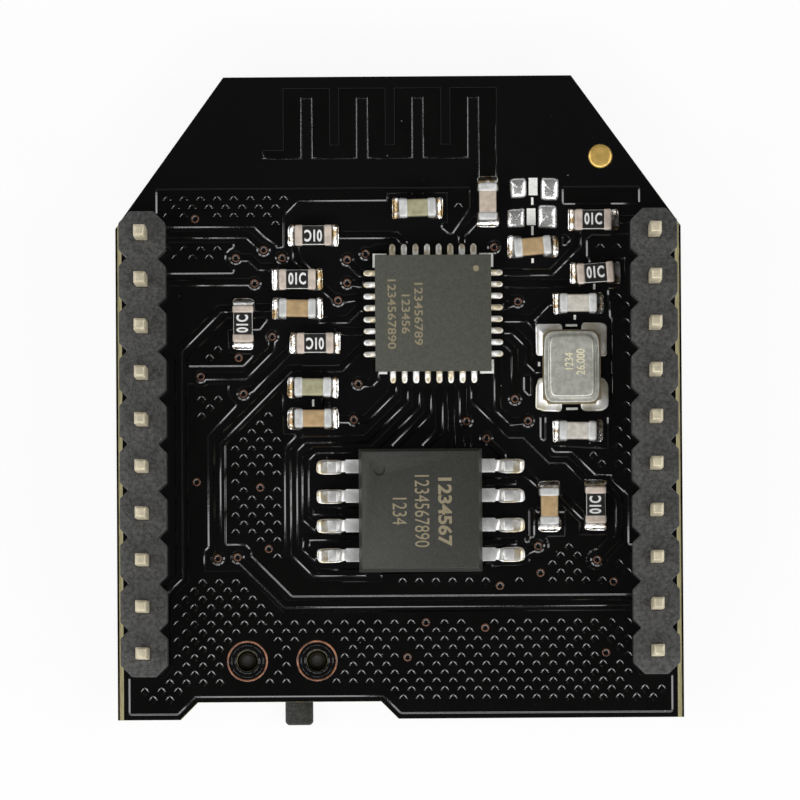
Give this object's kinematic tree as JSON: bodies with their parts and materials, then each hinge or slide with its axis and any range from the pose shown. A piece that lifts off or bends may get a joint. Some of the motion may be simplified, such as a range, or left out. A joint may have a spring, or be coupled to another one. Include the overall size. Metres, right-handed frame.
{
  "type": "wifi module",
  "caption": "Small black circuit board with a printed antenna, radio and memory chips, two rows of header pins and a slide switch.",
  "frame": {"origin": "under the middle of the board, level with the lowest face, which is the outer face of the slide switch's cover", "axes": "+X towards the right-hand pin row seen from the pin side, +Y towards the printed antenna, +Z out of the side that the pins and chips stand on"},
  "size_m": [0.0244, 0.0279, 0.0085],
  "materials": {
    "board_laminate": "gloss black solder mask on glass-epoxy laminate",
    "masked_copper": "gloss black solder mask over copper",
    "white_ink": "matt printed ink",
    "gold_plate": "satin gold plate",
    "header_plastic": "matt black moulded plastic",
    "pin_gold": "satin pale gold plate",
    "solder": "bright tin solder",
    "wifi_chip_plastic": "fine matt moulded epoxy",
    "memory_chip_plastic": "fine matt moulded epoxy",
    "tinned_lead": "matt tin plate",
    "crystal_ceramic": "matt fired ceramic with gold edges",
    "crystal_lid": "satin nickel-plated steel",
    "tan_ceramic": "matt tan ceramic",
    "pale_ceramic": "matt pale ceramic",
    "resistor_ceramic": "matt white alumina",
    "resistor_coat": "gloss black glaze",
    "end_metal": "matt tin plate",
    "switch_plastic": "matt black moulded plastic",
    "lever_plastic": "matt dark grey moulded plastic",
    "switch_steel": "bright tin-plated steel",
    "switch_bronze": "phosphor bronze with silver plate"
  },
  "bodies": {
    "root": {"circuit_board": "board_laminate", "antenna_trace": "masked_copper", "signal_tracks": "masked_copper", "ground_copper": "masked_copper", "silk_marks": "white_ink", "fiducial": "gold_plate", "bare_pads": "solder", "left_header_strip": "header_plastic", "right_header_strip": "header_plastic", "left_header_pins": "pin_gold", "right_header_pins": "pin_gold", "left_header_solder": "solder", "right_header_solder": "solder", "wifi_chip_body": "wifi_chip_plastic", "wifi_chip_leads": "tinned_lead", "wifi_chip_solder": "solder", "memory_chip_body": "memory_chip_plastic", "memory_chip_leads": "tinned_lead", "memory_chip_solder": "solder", "crystal_base": "crystal_ceramic", "crystal_lid": "crystal_lid", "crystal_solder": "solder", "capacitor_1": "tan_ceramic", "capacitor_2": "pale_ceramic", "capacitor_3": "tan_ceramic", "capacitor_4": "pale_ceramic", "capacitor_5": "pale_ceramic", "capacitor_6": "tan_ceramic", "capacitor_7": "tan_ceramic", "capacitor_8": "tan_ceramic", "capacitor_9": "tan_ceramic", "capacitor_ends": "end_metal", "resistor_1": "resistor_ceramic", "resistor_2": "resistor_ceramic", "resistor_3": "resistor_ceramic", "resistor_4": "resistor_ceramic", "resistor_5": "resistor_ceramic", "resistor_6": "resistor_ceramic", "resistor_7": "resistor_ceramic", "resistor_coats": "resistor_coat", "resistor_ends": "end_metal", "small_part_solder": "solder", "switch_housing": "switch_plastic", "switch_cover": "switch_steel", "switch_terminals": "switch_bronze", "switch_solder": "solder"},
    "slider": {"switch_slider": "lever_plastic", "switch_contact": "switch_bronze"}
  },
  "joints": [
    {"name": "lever_slide", "type": "slide", "parent": "root", "child": "slider", "axis": [1, 0, 0], "range_m": [-0.0014, 0]}
  ]
}
